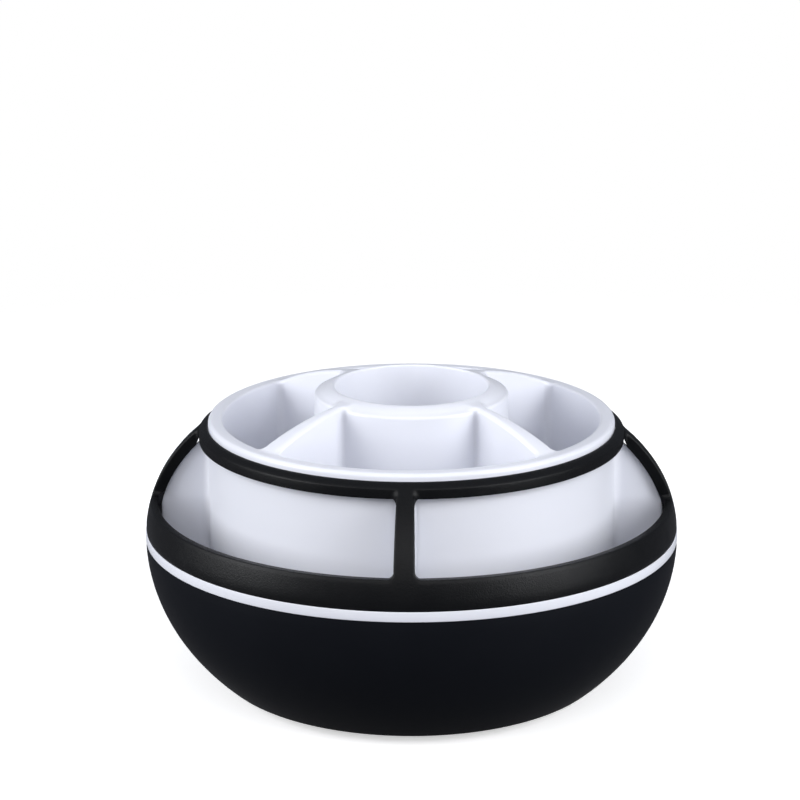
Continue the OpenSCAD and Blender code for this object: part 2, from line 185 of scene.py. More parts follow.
def polar(point):
    """Distance and angle of an (x, y) point."""
    return math.hypot(*point), math.atan2(point[1], point[0])


def flat(r, angle):
    """The (x, y) point at a distance and an angle."""
    return r * math.cos(angle), r * math.sin(angle)


def arc(centre, radius, start, end, steps):
    """Points of an arc in a half section; angles in degrees."""
    angles = [math.radians(start + (end - start) * i / steps) for i in range(steps + 1)]
    return [(centre[0] + radius * math.cos(a), centre[1] + radius * math.sin(a)) for a in angles]


def rounded(corners, steps=4):
    """Half-section points through (r, z, rounding) corners, each rounded by an arc."""
    points = []
    for i, (r, z, rounding) in enumerate(corners):
        if rounding <= 0 or i in (0, len(corners) - 1):
            points.append((r, z))
            continue
        here = Vector((r, z))
        to_last = (Vector(corners[i - 1][:2]) - here).normalized()
        to_next = (Vector(corners[i + 1][:2]) - here).normalized()
        half = to_last.angle(to_next) / 2
        reach = rounding / math.tan(half)
        centre = here + (to_last + to_next).normalized() * rounding / math.sin(half)
        first = here + to_last * reach - centre
        turn = first.angle_signed(here + to_next * reach - centre)
        for k in range(steps + 1):
            a = -turn * k / steps
            points.append((centre.x + first.x * math.cos(a) - first.y * math.sin(a),
                           centre.y + first.x * math.sin(a) + first.y * math.cos(a)))
    return points


def lathe(bm, points, steps, circle_r=0, angle=0, closed=False):
    """Spins (r, z) points round the turning axis, or round an upright axis on a circle."""
    x, y = flat(circle_r, angle)
    verts = [bm.verts.new((x + r, y, z)) for r, z in points]
    edges = [bm.edges.new(pair) for pair in zip(verts, verts[1:])]
    if closed:
        edges.append(bm.edges.new((verts[-1], verts[0])))
    bmesh.ops.spin(bm, geom=verts + edges, cent=(x, y, 0), axis=(0, 0, 1), angle=math.tau,
                   steps=steps, use_merge=True, use_duplicate=False)


def turned(bm, s, corners):
    """Spins a half section through (r, z, rounding) corners at the body's full fineness."""
    lathe(bm, rounded(corners), 4 * s.round_steps)


def fill_level(bm, z):
    """Fills the flat space between all the open edges at the height z."""
    bmesh.ops.remove_doubles(bm, verts=bm.verts, dist=0.001)
    edges = [e for e in bm.edges if e.is_boundary and all(abs(v.co.z - z) < 1e-4 for v in e.verts)]
    bmesh.ops.triangle_fill(bm, edges=edges, use_beauty=True)


def start_loop(bm, points):
    """Makes a closed loop of edges through the points and returns its vertices in order."""
    verts = [bm.verts.new(p) for p in points]
    for a, b in zip(verts, verts[1:] + verts[:1]):
        bm.edges.new((a, b))
    return verts


def loop_edges(verts):
    """The edges between a closed loop's neighbouring vertices."""
    pairs = zip(verts, verts[1:] + verts[:1])
    return [next(e for e in a.link_edges if e.other_vert(a) is b) for a, b in pairs]


def grow_loop(bm, verts, points):
    """Extrudes a closed loop to new points and returns the new vertices in the same order."""
    made = bmesh.ops.extrude_edge_only(bm, edges=loop_edges(verts))["geom"]
    fresh = {v for v in made if isinstance(v, bmesh.types.BMVert)}
    grown = []
    for vert, point in zip(verts, points):
        twin = next(e.other_vert(vert) for e in vert.link_edges if e.other_vert(vert) in fresh)
        twin.co = point
        grown.append(twin)
    return grown


def cell_border(half, low, high, around, upright):
    """The four borders of a cell in even steps, as (angle, level) points."""
    corners = [(-half, low), (half, low), (half, high), (-half, high)]
    points = []
    for i in range(4):
        steps = upright if i % 2 else around
        points += [mixed(corners[i], corners[(i + 1) % 4], k / steps) for k in range(steps)]
    return points


def join_corners(corners, around, upright, half_arc, curved=False):
    """A loop through four corner arcs, starting at the first one's middle, with even steps
    between them. Where it is curved, the steps go round the turning axis on two sides."""
    points = []
    for i in range(4):
        here, after = corners[i], corners[(i + 1) % 4]
        steps = (upright if i % 2 else around) - 2 * half_arc
        points += here[half_arc:]
        for k in range(1, steps):
            if curved and i % 2 == 0:
                points.append(flat(*mixed(polar(here[-1]), polar(after[0]), k / steps)))
            else:
                points.append(mixed(here[-1], after[0], k / steps))
        points += after[:half_arc]
    return points


def quarter_round(steps=5):
    """Shares of the radius (outwards, down) along a quarter round, from its outer edge."""
    turns = [QUARTER * k / steps for k in range(1, steps + 1)]
    return [(1 - math.sin(turn), 1 - math.cos(turn)) for turn in turns]


def bevel_edges(bm, edges, width, segments):
    """Rounds the edges."""
    bmesh.ops.bevel(bm, geom=edges, offset=width, offset_type="OFFSET", segments=segments,
                    profile=0.5, affect="EDGES", material=-1, clamp_overlap=True)


def repeat_quarters(bm):
    """Repeats all that is in the mesh in the other three quarters."""
    geom = bm.verts[:] + bm.edges[:] + bm.faces[:]
    for i in (1, 2, 3):
        fresh = bmesh.ops.duplicate(bm, geom=geom)["geom"]
        bmesh.ops.rotate(bm, verts=[v for v in fresh if isinstance(v, bmesh.types.BMVert)],
                         cent=(0, 0, 0), matrix=Matrix.Rotation(i * QUARTER, 3, "Z"))


def add_object(name, data):
    """Adds an object with its data to the scene."""
    made = bpy.data.objects.new(name, data)
    bpy.context.scene.collection.objects.link(made)
    return made


def add_mesh(bm, name, material):
    """Adds an object with the mesh and its material."""
    mesh = bpy.data.meshes.new(name)
    bm.to_mesh(mesh)
    bm.free()
    mesh.materials.append(material)
    return add_object(name, mesh)


def add_piece(bm, name, look, body, nodes):
    """Closes the mesh, scales it from millimetres and makes it a piece on its body."""
    sharp = math.radians(35)
    bmesh.ops.remove_doubles(bm, verts=bm.verts, dist=0.01)
    bmesh.ops.recalc_face_normals(bm, faces=bm.faces)
    bmesh.ops.scale(bm, vec=(MM, MM, MM), verts=bm.verts)
    for face in bm.faces:
        face.smooth = True
    for edge in bm.edges:
        edge.smooth = len(edge.link_faces) == 2 and edge.calc_face_angle(0) < sharp
    piece = add_mesh(bm, name, surface(look))
    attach(piece, body)
    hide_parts(*nodes)


# ---- body curves


def skin_point(s, rise, sine, off):
    """(r, z) on the body's curve, moved inwards by off; sine is the height's share of the rise
    above the equator, which is negative below it."""
    cosine = math.sqrt(max(0, 1 - sine * sine))
    normal = Vector((cosine / s.body_r, sine / rise)).normalized()
    return (s.body_r * cosine - off * normal.x, s.equator_z + rise * sine - off * normal.y)


def upper_point(s, sine, off):
    """(r, z) on the curve above the equator."""
    return skin_point(s, s.dome_rise, sine, off)


def lower_point(s, sine, off):
    """(r, z) on the curve below the equator."""
    return skin_point(s, -s.bowl_drop, sine, off)


def sine_at(point, test, low, high):
    """The sine at which test(point(sine)) turns from negative to positive."""
    for _ in range(40):
        middle = (low + high) / 2
        if test(point(middle)) < 0:
            low = middle
        else:
            high = middle
    return (low + high) / 2


def smooth(share):
    """Eases from 0 to 1 and stays there outside that range."""
    share = max(0, min(1, share))
    return share * share * (3 - 2 * share)


def tongue_radius(s):
    """Outer radius of the tongue inside the bowl."""
    sine = (s.equator_z - node_bottom("upper_shell")) / s.bowl_drop
    return lower_point(s, sine, s.wall)[0] - s.fit_gap


# ---- materials


def add_node(tree, kind, settings=None, links=None):
    """Adds a node, sets its attributes and sockets, and links outputs into its inputs."""
    node = tree.nodes.new(kind)
    for key, value in (settings or {}).items():
        if isinstance(key, str) and hasattr(node, key):
            setattr(node, key, value)
        else:
            node.inputs[key].default_value = value
    for key, output in (links or {}).items():
        tree.links.new(output, node.inputs[key])
    return node


def mix_shader(tree, factor, first, second):
    """Mixes two shader nodes by an output."""
    return add_node(tree, "ShaderNodeMixShader",
                    links={0: factor, 1: first.outputs[0], 2: second.outputs[0]})


def new_material(name):
    """An empty node material and its node tree."""
    material = bpy.data.materials.new(name)
    material.use_nodes = True
    material.node_tree.nodes.clear()
    return material, material.node_tree


def metal(paint, rough, grain_mm):
    """A row of FINISHES for metal with a fine grain in its roughness and colour."""
    grain = (grain_mm, 3, 0.5)
    return (paint, {"Metallic": 1.0}, (grain, 0.88, 1.06), (grain, rough * 0.8, rough * 1.25),
            (grain, 0.004))


# The paint is a colour property or a hex value. Colour, roughness and relief follow noises:
# (noise, low, high) twice and (noise, height in mm), with each noise as (size of its cells
# in mm, detail, roughness).
FINISHES = {
    # Soft-touch coated ABS: a smooth rubbery lacquer that kills sharp highlights and leaves
    # a broad dim sheen, with faint handling clouds in its roughness.
    "soft_touch_coated_abs": (
        "bowl", {"IOR": 1.48, "Specular IOR Level": 0.07, "Sheen Weight": 0.05,
                 "Sheen Roughness": 0.3},
        ((18, 3, 0.5), 0.9, 1.12), ((18, 3, 0.5), 0.5, 0.58), ((0.35, 2, 0.6), 0.01)),
    # Black ABS moulded against a spark-eroded tool: a fine hard grain that breaks the
    # highlight up into many small sparkles.
    "spark_eroded_moulded_abs": (
        "shell", {"IOR": 1.54, "Specular IOR Level": 0.15},
        ((0.42, 3, 0.65), 0.75, 1.3), ((9, 2, 0.5), 0.33, 0.41), ((0.42, 3, 0.65), 0.1)),
    # Polished cool-white ABS: a bright body with a little light passing just under the
    # surface, and a soft gloss that is slightly wavy, as on a moulding.
    "polished_white_abs": (
        "tray", {"IOR": 1.53, "Specular IOR Level": 0.4, "Subsurface Weight": 0.12,
                 "Subsurface Radius": (0.9, 0.9, 1.0), "Subsurface Scale": 0.002},
        ((30, 1, 0.5), 0.985, 1.01), ((30, 1, 0.5), 0.29, 0.35), ((1.6, 2, 0.5), 0.006)),
    # Plain moulded black ABS: an even satin surface with a coarse tool grain.
    "satin_moulded_abs": (
        "foot", {"IOR": 1.54},
        ((0.8, 2, 0.5), 0.85, 1.15), ((0.8, 2, 0.5), 0.42, 0.5), ((0.8, 2, 0.5), 0.02)),
    # Moulded nitrile rubber: dull, nearly without gloss, with a dusty bloom.
    "moulded_nitrile_rubber": (
        "rubber", {"IOR": 1.5, "Specular IOR Level": 0.25},
        ((2.5, 4, 0.5), 0.8, 1.6), ((2.5, 4, 0.5), 0.75, 0.9), ((2.5, 4, 0.5), 0.03)),
    # Pressed and zinc-plated steel: pale grey, softly mottled by the plating.
    "zinc_plated_pressed_steel": metal("#b4b8bc", 0.34, 1.4),
    # Zinc-plated screw steel: a little darker and smoother than the races.
    "zinc_plated_screw_steel": metal("#a4a8ad", 0.28, 0.6),
    # Ground and polished bearing steel: near-mirror balls.
    "polished_bearing_steel": metal("#c3c6ca", 0.08, 0.9),
    # Natural moulded nylon: a waxy cream with a soft gloss.
    "natural_moulded_nylon": (
        "#d9d3bf", {"IOR": 1.53, "Subsurface Weight": 0.1, "Subsurface Scale": 0.001},
        ((1.2, 2, 0.5), 0.94, 1.03), ((1.2, 2, 0.5), 0.38, 0.5), ((1.2, 2, 0.5), 0.01)),
}


def surface(name):
    """The material of that name in FINISHES, made once."""
    if name in bpy.data.materials:
        return bpy.data.materials[name]
    paint, settings, tint, rough, relief = FINISHES[name]
    base = srgb(paint) if paint[0] == "#" else getattr(bpy.context.scene.caddy_colours, paint)
    material, tree = new_material(name)
    place = add_node(tree, "ShaderNodeTexCoord")

    def noise(kind):
        grain_mm, detail, roughness = kind
        return add_node(tree, "ShaderNodeTexNoise",
                        {"Scale": 1 / (grain_mm * MM), "Detail": detail, "Roughness": roughness},
                        {"Vector": place.outputs["Object"]}).outputs["Fac"]

    mix = add_node(tree, "ShaderNodeMix", {"data_type": "RGBA"})
    for key, factor in (("A", tint[1]), ("B", tint[2])):
        mix.inputs[key].default_value = (*(min(1, c * factor) for c in base), 1)
    tree.links.new(noise(tint[0]), mix.inputs["Factor"])
    spread = add_node(tree, "ShaderNodeMapRange", {
        "From Min": 0.3, "From Max": 0.7, "To Min": rough[1], "To Max": rough[2]},
        {"Value": noise(rough[0])})
    bump = add_node(tree, "ShaderNodeBump", {"Distance": relief[1] * MM, "Strength": 1.0},
                    {"Height": noise(relief[0])})
    shader = add_node(tree, "ShaderNodeBsdfPrincipled", settings, {
        "Base Color": mix.outputs["Result"], "Roughness": spread.outputs["Result"],
        "Normal": bump.outputs["Normal"]})
    add_node(tree, "ShaderNodeOutputMaterial", links={"Surface": shader.outputs["BSDF"]})
    return material


# ---- operators


class OBJECT_OT_caddy_bowl(bpy.types.Operator):
    """Build the smooth lower bowl with the well for the foot"""

    bl_idname = "object.caddy_bowl"
    bl_label = "Lower Bowl"

    def execute(self, context):
        s = sizes()
        under_z, top_z = node_bottom("lower_bowl"), node_top("lower_bowl")
        platform_z = node_top("upper_race")
        floor_z, deck_z = under_z + s.wall, platform_z + s.wall
        well_r = node_radius("foot_disc") + s.well_gap
        steps = 40
        corner_sine = (s.equator_z - under_z - s.corner_h) / s.bowl_drop
        corner_angle = math.asin(corner_sine)
        top_angle = math.asin((s.equator_z - top_z) / s.bowl_drop)
        normal = Vector((math.cos(corner_angle) / s.body_r, corner_sine / s.bowl_drop)).normalized()
        corner_r = s.corner_h / (1 - normal.y)
        centre = lower_point(s, corner_sine, corner_r)
        slope = math.degrees(math.atan2(normal.y, normal.x))

        def side(off):
            """The wall's curve and the bottom corner, moved inwards by off."""
            angles = [top_angle + (corner_angle - top_angle) * i / steps for i in range(steps + 1)]
            curve = [lower_point(s, math.sin(a), off) for a in angles]
            return curve + arc(centre, corner_r - off, -slope, -90, 10)[1:]

        outer, inner = side(0), side(s.wall)
        chamfer, bevel_h = 0.15, 1.5
        lip_r = outer[0][0] - s.bevel_in
        outer = [(lip_r - chamfer, top_z), (lip_r, top_z - chamfer)] \
            + [p for p in outer if p[1] < top_z - bevel_h]
        bm = bmesh.new()
        lathe(bm, [(outer[-1][0], under_z)] + outer[::-1][1:] + inner, 4 * s.round_steps)
        turned(bm, s, [(well_r + 0.8, under_z, 0), (well_r, under_z, 0.5), (well_r, platform_z, 0)])
        turned(bm, s, [(well_r + s.wall, deck_z, 0), (well_r + s.wall, floor_z, 0)])
        washer_gap = 0.3
        bore_r = s.pivot_r + s.run_gap
        hub_r, hub_z = bore_r + s.hub_wall, node_bottom("retaining_washer") - washer_gap
        turned(bm, s, [(bore_r, platform_z, 0), (bore_r, hub_z, 0.3), (hub_r, hub_z, 0.4),
                       (hub_r, deck_z, 0)])
        screw_h, hole_r = 15, 1.7
        seat_z, boss_z = node_top("tray_screws") - screw_h, floor_z + BOSS_H
        post = [(s.screw_hole_r, under_z), (s.screw_hole_r, seat_z), (hole_r, seat_z),
                (hole_r, boss_z), (s.screw_post_r, boss_z), (s.screw_post_r, floor_z)]
        head_r, pilot_r, pilot_h, cap_r, cap_h = 2, 1.05, 2.6, 2.9, 1.4
        race_r = node_radius("upper_race_screws") - head_r
        pilot = [(pilot_r, platform_z), (pilot_r, platform_z + pilot_h), (0, platform_z + pilot_h)]
        cap = [(cap_r, deck_z), (cap_r, deck_z + cap_h), (0, deck_z + cap_h)]
        for i in range(4):
            lathe(bm, post, HOLE_STEPS, s.screw_circle_r, QUARTER * (i + 0.5))
            lathe(bm, pilot, HOLE_STEPS, race_r, QUARTER * i)
            lathe(bm, cap, HOLE_STEPS, race_r, QUARTER * i)
        for z in (under_z, floor_z, platform_z, deck_z):
            fill_level(bm, z)
        add_piece(bm, "bowl", "soft_touch_coated_abs", "caddy", ["lower_bowl"])
        return {"FINISHED"}


class OBJECT_OT_caddy_band(bpy.types.Operator):
    """Build the white band around the widest circle"""

    bl_idname = "object.caddy_band"
    bl_label = "Trim Band"

    def execute(self, context):
        s = sizes()
        low, high = node_bottom("trim_band"), node_top("trim_band") - BAND_DROP
        inner_r = tongue_radius(s) + s.fit_gap
        edge = 0.2
        face = [upper_point(s, max(0, (z - s.equator_z) / s.dome_rise), 0)[0]
                for z in (low + edge, high - edge)]
        profile = [(inner_r, low)] + arc((face[0] - edge, low + edge), edge, -90, 0, 4)
        profile += arc((face[1] - edge, high - edge), edge, 0, 90, 4) + [(inner_r, high)]
        bm = bmesh.new()
        lathe(bm, profile, 4 * s.round_steps, closed=True)
        add_piece(bm, "band", "polished_white_abs", "caddy", ["trim_band"])
        return {"FINISHED"}


class OBJECT_OT_caddy_shell(bpy.types.Operator):
    """Build the grained upper shell with its four windows"""

    bl_idname = "object.caddy_shell"
    bl_label = "Upper Shell"

    def execute(self, context):
        s = sizes()
        bottom_z = node_top("trim_band") - BAND_DROP
        ring_z, tongue_z = node_top("upper_shell"), node_bottom("upper_shell")
        hole_r = s.rim_r + s.fit_gap
        skins = [self.skin_curve(s, off, bottom_z, hole_r, ring_z) for off in (0, s.wall)]
        bm = bmesh.new()
        self.window_cell(bm, s, skins)
        repeat_quarters(bm)
        tongue_r = tongue_radius(s)
        tongue_in = tongue_r - s.tongue_t
        lip_r = upper_point(s, (bottom_z - s.equator_z) / s.dome_rise, 0)[0] - s.bevel_in
        turned(bm, s, [(*skins[0](0), 0), (lip_r, bottom_z, 0.15), (tongue_r, bottom_z, 0),
                       (tongue_r, tongue_z, 0.3), (tongue_in, tongue_z, 0.3),
                       (tongue_in, bottom_z + s.wall * 0.6, 0.5), (*skins[1](0), 0)])
        crown_in = skins[1](3)
        turned(bm, s, [(*skins[0](3), 0), (hole_r, ring_z, 0.15),
                       (hole_r, crown_in[1] - 0.2, 0.2), (*crown_in, 0)])
        add_piece(bm, "shell", "spark_eroded_moulded_abs", "caddy", ["upper_shell"])
        return {"FINISHED"}

    def skin_curve(self, s, off, bottom_z, hole_r, ring_z):
        """The shell's half section as a function of q: 0 is its lower edge, 1 the sill,
        2 the windows' top edge and 3 the hole's edge."""

        def point(sine):
            return upper_point(s, sine, off)

        lip, bend = 0.2, 0.15
        window_r = hole_r + s.ring_w
        start_z = bottom_z + (s.wall if off else s.bevel_h)
        sill_z = s.equator_z + s.sill_h
        sines = (sine_at(point, lambda p: p[1] - start_z, -0.2, 0.6),
                 sine_at(point, lambda p: p[1] - sill_z, 0, 0.9),
                 sine_at(point, lambda p: window_r - p[0], 0.1, 0.95))
        start, sill, top = (math.asin(sine) for sine in sines)
        top_z = point(sines[2])[1]
        flat_z = ring_z - off

        def eased(z):
            """The lower of a height and the flat ring, with a soft bend between them."""
            return flat_z - bend * math.log1p(math.exp((flat_z - z) / bend))

        def curve(q):
            if q <= 1:
                return point(math.sin(start + (sill - start) * q))
            if q <= 2:
                return point(math.sin(sill + (top - sill) * (q - 1)))
            r = window_r + (hole_r + lip - window_r) * (q - 2)
            z = point(sine_at(point, lambda p: r - p[0], 0.1, 0.999))[1]
            if off:
                return (r, min(z, flat_z))
            return (r, eased(z) + (top_z - eased(top_z)) * (3 - q))

        return curve

    def window_cell(self, bm, s, skins):
        """One window with half of the post on each side, the sill and its part of the ring."""
        half_cell = QUARTER / 2
        side_steps, arc_steps, wide_steps = 26, 8, 5
        edge_angle = half_cell - s.post_angle / 2
        way = [skins[0](1 + i / 16) for i in range(17)]
        window_h = sum(math.dist(a, b) for a, b in zip(way, way[1:]))

        def outline(grow):
            """Window outline in (angle, q), grown outwards by a length."""
            radius = s.window_corner_r
            corners = []
            for side, q, start in ((-1, 1, 180), (1, 1, 270), (1, 2, 0), (-1, 2, 90)):
                r_here = skins[0](q)[0]
                centre_a = side * (edge_angle - radius / r_here)
                centre_q = q + (3 - 2 * q) * radius / window_h
                corners.append([
                    (centre_a + x / r_here, centre_q + z / window_h)
                    for x, z in arc((0, 0), radius + grow, start, start + 90, 2 * arc_steps)])
            return join_corners(corners, s.round_steps, side_steps, arc_steps)

        def place(points, skin):
            """Where (angle, q) points lie on a skin."""
            placed = []
            for angle, q in points:
                r, z = skin(max(0, min(3, q)))
                placed.append((*flat(r, angle + half_cell), z))
            return placed

        def inside(points, depths):
            """The points at a depth of their own below the outer skin."""
            return [Vector(a).lerp(Vector(b), d / s.wall)
                    for a, b, d in zip(place(points, skins[0]), place(points, skins[1]), depths)]

        def full(points):
            """The wall's depth at each point: the posts are deeper than the sill and the ring."""
            depths = []
            for _, q in points:
                low, high = (q - 1) / s.window_corner_r, (2 - q) / s.post_fade
                depths.append(s.wall + s.post_rib * smooth(min(low, high) * window_h))
            return depths

        border = cell_border(half_cell, 0, 3, s.round_steps, side_steps)
        exact, wide = outline(0), outline(1)
        ring_q, ring_fade = 1.88, 0.1
        edges = [s.edge_round + (s.ring_round - s.edge_round) * smooth((q - ring_q) / ring_fade)
                 for _, q in exact]
        near = between(exact, wide, edges)
        verts = start_loop(bm, place(border, skins[0]))
        for t in range(1, wide_steps + 1):
            verts = grow_loop(bm, verts, place(between(border, near, t / wide_steps), skins[0]))
        for out, drop in quarter_round():
            verts = grow_loop(bm, verts, inside(between(exact, wide, [e * out for e in edges]),
                                                [e * drop for e in edges]))
        back_round = 0.35
        depths = full(exact)
        for out, above in ((0, 1), (0.3, 0.3)):
            verts = grow_loop(bm, verts, inside(between(exact, wide, out * back_round),
                                                [d - above * back_round for d in depths]))
        near = between(exact, wide, back_round)
        for t in range(wide_steps, -1, -1):
            points = between(border, near, t / wide_steps)
            verts = grow_loop(bm, verts, inside(points, full(points)))


class OBJECT_OT_caddy_tray(bpy.types.Operator):
    """Build the glossy tray: cup, compartments, dividers, side pockets and plates"""

    bl_idname = "object.caddy_tray"
    bl_label = "Inner Tray"

    def execute(self, context):
        s = sizes()
        bm = bmesh.new()
        self.compartment_cell(bm, s)
        repeat_quarters(bm)
        self.rest_of_section(bm, s)
        self.plates(bm, s)
        self.screw_posts(bm, s)
        add_piece(bm, "tray", "polished_white_abs", "caddy", ["inner_tray"])
        return {"FINISHED"}

    def heights(self, s):
        """Height of the rim and the cup's top."""
        return node_top("upper_shell") + s.rim_proud, node_top("inner_tray")

    def arc_centre(self, inner, outer, radius):
        """Centre of the upward-bulging arc between two (r, z) points."""
        inner, outer = Vector(inner), Vector(outer)
        chord = outer - inner
        upright = Vector((-chord.y, chord.x)).normalized()
        return (inner + outer) / 2 - upright * math.sqrt(radius ** 2 - chord.length_squared / 4)

    def top_arcs(self, s):
        """The arcs over the cup's top and the divider, as centre and radius, and the radius
        at which the divider leaves the cup's arc."""
        rim_z, cup_z = self.heights(s)
        cup_r = 2 * s.cup_rim_w
        cup = self.arc_centre((s.cup_r + CUP_ROUND, cup_z),
                              (s.cup_r + s.cup_rim_w, cup_z - s.cup_shoulder), cup_r)
        start_z = cup_z - s.divider_below
        start_r = cup.x + math.sqrt(cup_r ** 2 - (start_z - cup.y) ** 2)
        divider = self.arc_centre((start_r, start_z), (s.rim_r - s.rim_w + RIM_TOP_IN, rim_z),
                                  s.divider_arc_r)
        return (cup, cup_r), (divider, s.divider_arc_r), start_r

    def half_divider(self, s, r):
        """Half the divider's thickness at the radius r."""
        cup_out, rim_in = s.cup_r + s.cup_rim_w, s.rim_r - s.rim_w
        share = max(0, min(1, (r - cup_out) / (rim_in - cup_out)))
        return (s.divider_t + (s.divider_rim_t - s.divider_t) * share) / 2

    def near_divider(self, s, x, y, reach):
        """1 over a divider, fading to 0 at a reach beside it."""
        off_plane = min(abs(x - y), abs(x + y)) / math.sqrt(2)
        return smooth(1 - (off_plane - self.half_divider(s, math.hypot(x, y))) / reach)

    def top_height(self, s, arcs, x, y):
        """Height of the tray's top face between the compartments."""
        r = math.hypot(x, y)
        cup, divider, start_r = arcs
        blend = 2.2

        def over(centre, radius):
            return centre.y + math.sqrt(max(0, radius ** 2 - (r - centre.x) ** 2))

        if r >= s.rim_r - s.rim_w + RIM_TOP_IN:
            return self.heights(s)[0]
        if r <= start_r:
            return over(*cup)
        if r >= s.cup_r + s.cup_rim_w:
            return over(*divider)
        share = self.near_divider(s, x, y, blend)
        return over(*cup) + (over(*divider) - over(*cup)) * share

    def compartment_cell(self, bm, s):
        """One compartment with half of each divider and its part of the cup and the rim."""
        half = QUARTER / 2
        side_steps, arc_steps, top_steps = 30, 6, 5
        cup_out, rim_in = s.cup_r + s.cup_rim_w, s.rim_r - s.rim_w
        tilt = math.atan((s.divider_rim_t - s.divider_t) / 2 / (rim_in - cup_out))
        arcs = self.top_arcs(s)
        rim_corner_r, cup_corner_r = 2.2, 1.2

        def outline(grow):
            """Compartment outline in plan, centred on +X, grown outwards by a length."""
            corners = []
            for side, level, sign, round_r in (
                    (-1, rim_in, -1, rim_corner_r), (1, rim_in, -1, rim_corner_r),
                    (1, cup_out, 1, cup_corner_r), (-1, cup_out, 1, cup_corner_r)):
                reach = along = level + sign * round_r
                for _ in range(6):
                    across = self.half_divider(s, along) + round_r
                    along = math.sqrt(reach * reach - across * across)
                x = along * math.cos(half) + across * math.sin(half)
                y = side * (along * math.sin(half) - across * math.cos(half))
                ends = [side * (half - tilt + QUARTER),
                        math.atan2(y, x) + (0 if sign < 0 else math.pi)]
                first, last = ends if side == sign else reversed(ends)
                turn = (last - first + math.pi) % math.tau - math.pi
                corners.append(arc((x, y), round_r + grow, math.degrees(first),
                                   math.degrees(first + turn), 2 * arc_steps))
            return join_corners(corners, s.round_steps, side_steps, arc_steps, curved=True)

        def on_top(points):
            return [(x, y, self.top_height(s, arcs, x, y)) for x, y in points]

        border = [flat(r, angle) for angle, r in cell_border(
            half, s.rim_r - RIM_ROUND, s.cup_r + CUP_ROUND, s.round_steps, side_steps)]
        lip, wide = outline(0), outline(1)
        rim_lip, cup_lip, divider_lip, lip_fade = 0.75, 1.0, 1.2, 3
        edges = []
        for x, y in lip:
            base = rim_lip if math.hypot(x, y) > (cup_out + rim_in) / 2 else cup_lip
            edges.append(base + (divider_lip - base) * self.near_divider(s, x, y, lip_fade))
        near = between(lip, wide, edges)
        verts = start_loop(bm, on_top(border))
        for t in range(1, top_steps + 1):
            verts = grow_loop(bm, verts, on_top(between(border, near, t / top_steps)))
        top = [v.co.z for v in verts]
        for out, drop in quarter_round():
            ring = between(lip, wide, [e * out for e in edges])
            verts = grow_loop(bm, verts, [(*point, z - e * drop)
                                          for point, e, z in zip(ring, edges, top)])
        lip_z = [v.co.z for v in verts]
        draft, floor_round = 0.5, 1.6
        for share in (0.15, 0.4, 0.7, 1):
            verts = grow_loop(bm, verts, [
                (*point, z + (s.box_floor_z - z) * share)
                for point, z in zip(outline(-draft * share), lip_z)])
        floor_edges = loop_edges(verts)
        bm.faces.new(verts)
        bevel_edges(bm, floor_edges, floor_round, 4)

    def rest_of_section(self, bm, s):
        """The cup's inside, the rim's outer edge, the skirt, side pockets and underside."""
        rim_z, cup_z = self.heights(s)
        steps = 4 * s.round_steps
        inner_r, cup_draft = s.cup_r + CUP_ROUND, 0.3
        cup = [(inner_r, cup_z)] + arc((inner_r, cup_z - CUP_ROUND), CUP_ROUND, 90, 180, 5)[1:]
        cup += rounded([(s.cup_r, cup_z - CUP_ROUND, 0), (s.cup_r - cup_draft, s.cup_floor_z, 2.5),
                        (0, s.cup_floor_z, 0)], 6)[1:]
        lathe(bm, cup, steps)
        top_z = node_bottom("upper_shell") - s.fit_gap
        low_z = s.pocket_floor_z - s.skin

        def liner(off, low):
            """The bowl's curve from a height up to the tongue, moved inwards by off."""
            span = [(s.equator_z - z) / s.bowl_drop for z in (low, top_z)]
            return [lower_point(s, span[0] + (span[1] - span[0]) * i / 16, off) for i in range(17)]

        outside = liner(s.wall + s.fit_gap, low_z)
        inside = liner(s.wall + s.fit_gap + s.skin, s.pocket_floor_z + 1.5)
        lip_z, skirt_r, skirt_in = top_z + 0.4, s.rim_r, s.rim_r - s.skin
        edge = (skirt_r - RIM_ROUND, rim_z - RIM_ROUND)
        section = [(edge[0], rim_z)] + arc(edge, RIM_ROUND, 90, 0, 6)[1:]
        section += rounded([(skirt_r, edge[1], 0), (skirt_r, s.pocket_floor_z, 1.2),
                            (inside[0][0] - 0.8, s.pocket_floor_z, 1.2), (*inside[0], 0)])[1:]
        section += inside[1:-1]
        section += rounded([(*inside[-1], 0), (inside[-1][0], lip_z, 0.5),
                            (outside[-1][0], lip_z, 0.5), (*outside[-1], 0)], 3)
        section += outside[-2:0:-1]
        deck_z, cup_under_z = s.box_floor_z - s.skin, s.cup_floor_z - s.skin
        section += rounded([(*outside[0], 0), (skirt_in, low_z, 0.4), (skirt_in, deck_z, 1.0),
                            (s.cup_r + s.skin, deck_z, 1.0), (s.cup_r + s.skin, cup_under_z, 1.0),
                            (0, cup_under_z, 0)])
        lathe(bm, section, steps)

    def plates(self, bm, s):
        """Four plates behind the posts, with rounded roots where they leave the skirt."""
        ring_z = node_top("upper_shell")
        root_r, end_r, half_t, rows = 2.5, 0.7, s.plate_t / 2, 16
        sunk, shell_gap, top_gap, bowl_gap = 0.4, 0.1, 0.3, 0.05
        start = s.rim_r - sunk
        end = tongue_radius(s) - s.tongue_t - 2 * s.fit_gap
        window_r = s.rim_r + s.fit_gap + s.ring_w
        ring_edge = upper_point(s, sine_at(lambda v: upper_point(s, v, 0),
                                           lambda p: window_r - p[0], 0.1, 0.95), 0)

        def under_shell(sine):
            """The point just inside the shell, which is deeper at the posts than at the ring."""
            skin = upper_point(s, sine, 0)
            below = math.dist(skin, ring_edge) if skin[0] > ring_edge[0] else 0
            depth = s.wall + shell_gap + s.post_rib * smooth(below / s.post_fade)
            return upper_point(s, sine, depth)

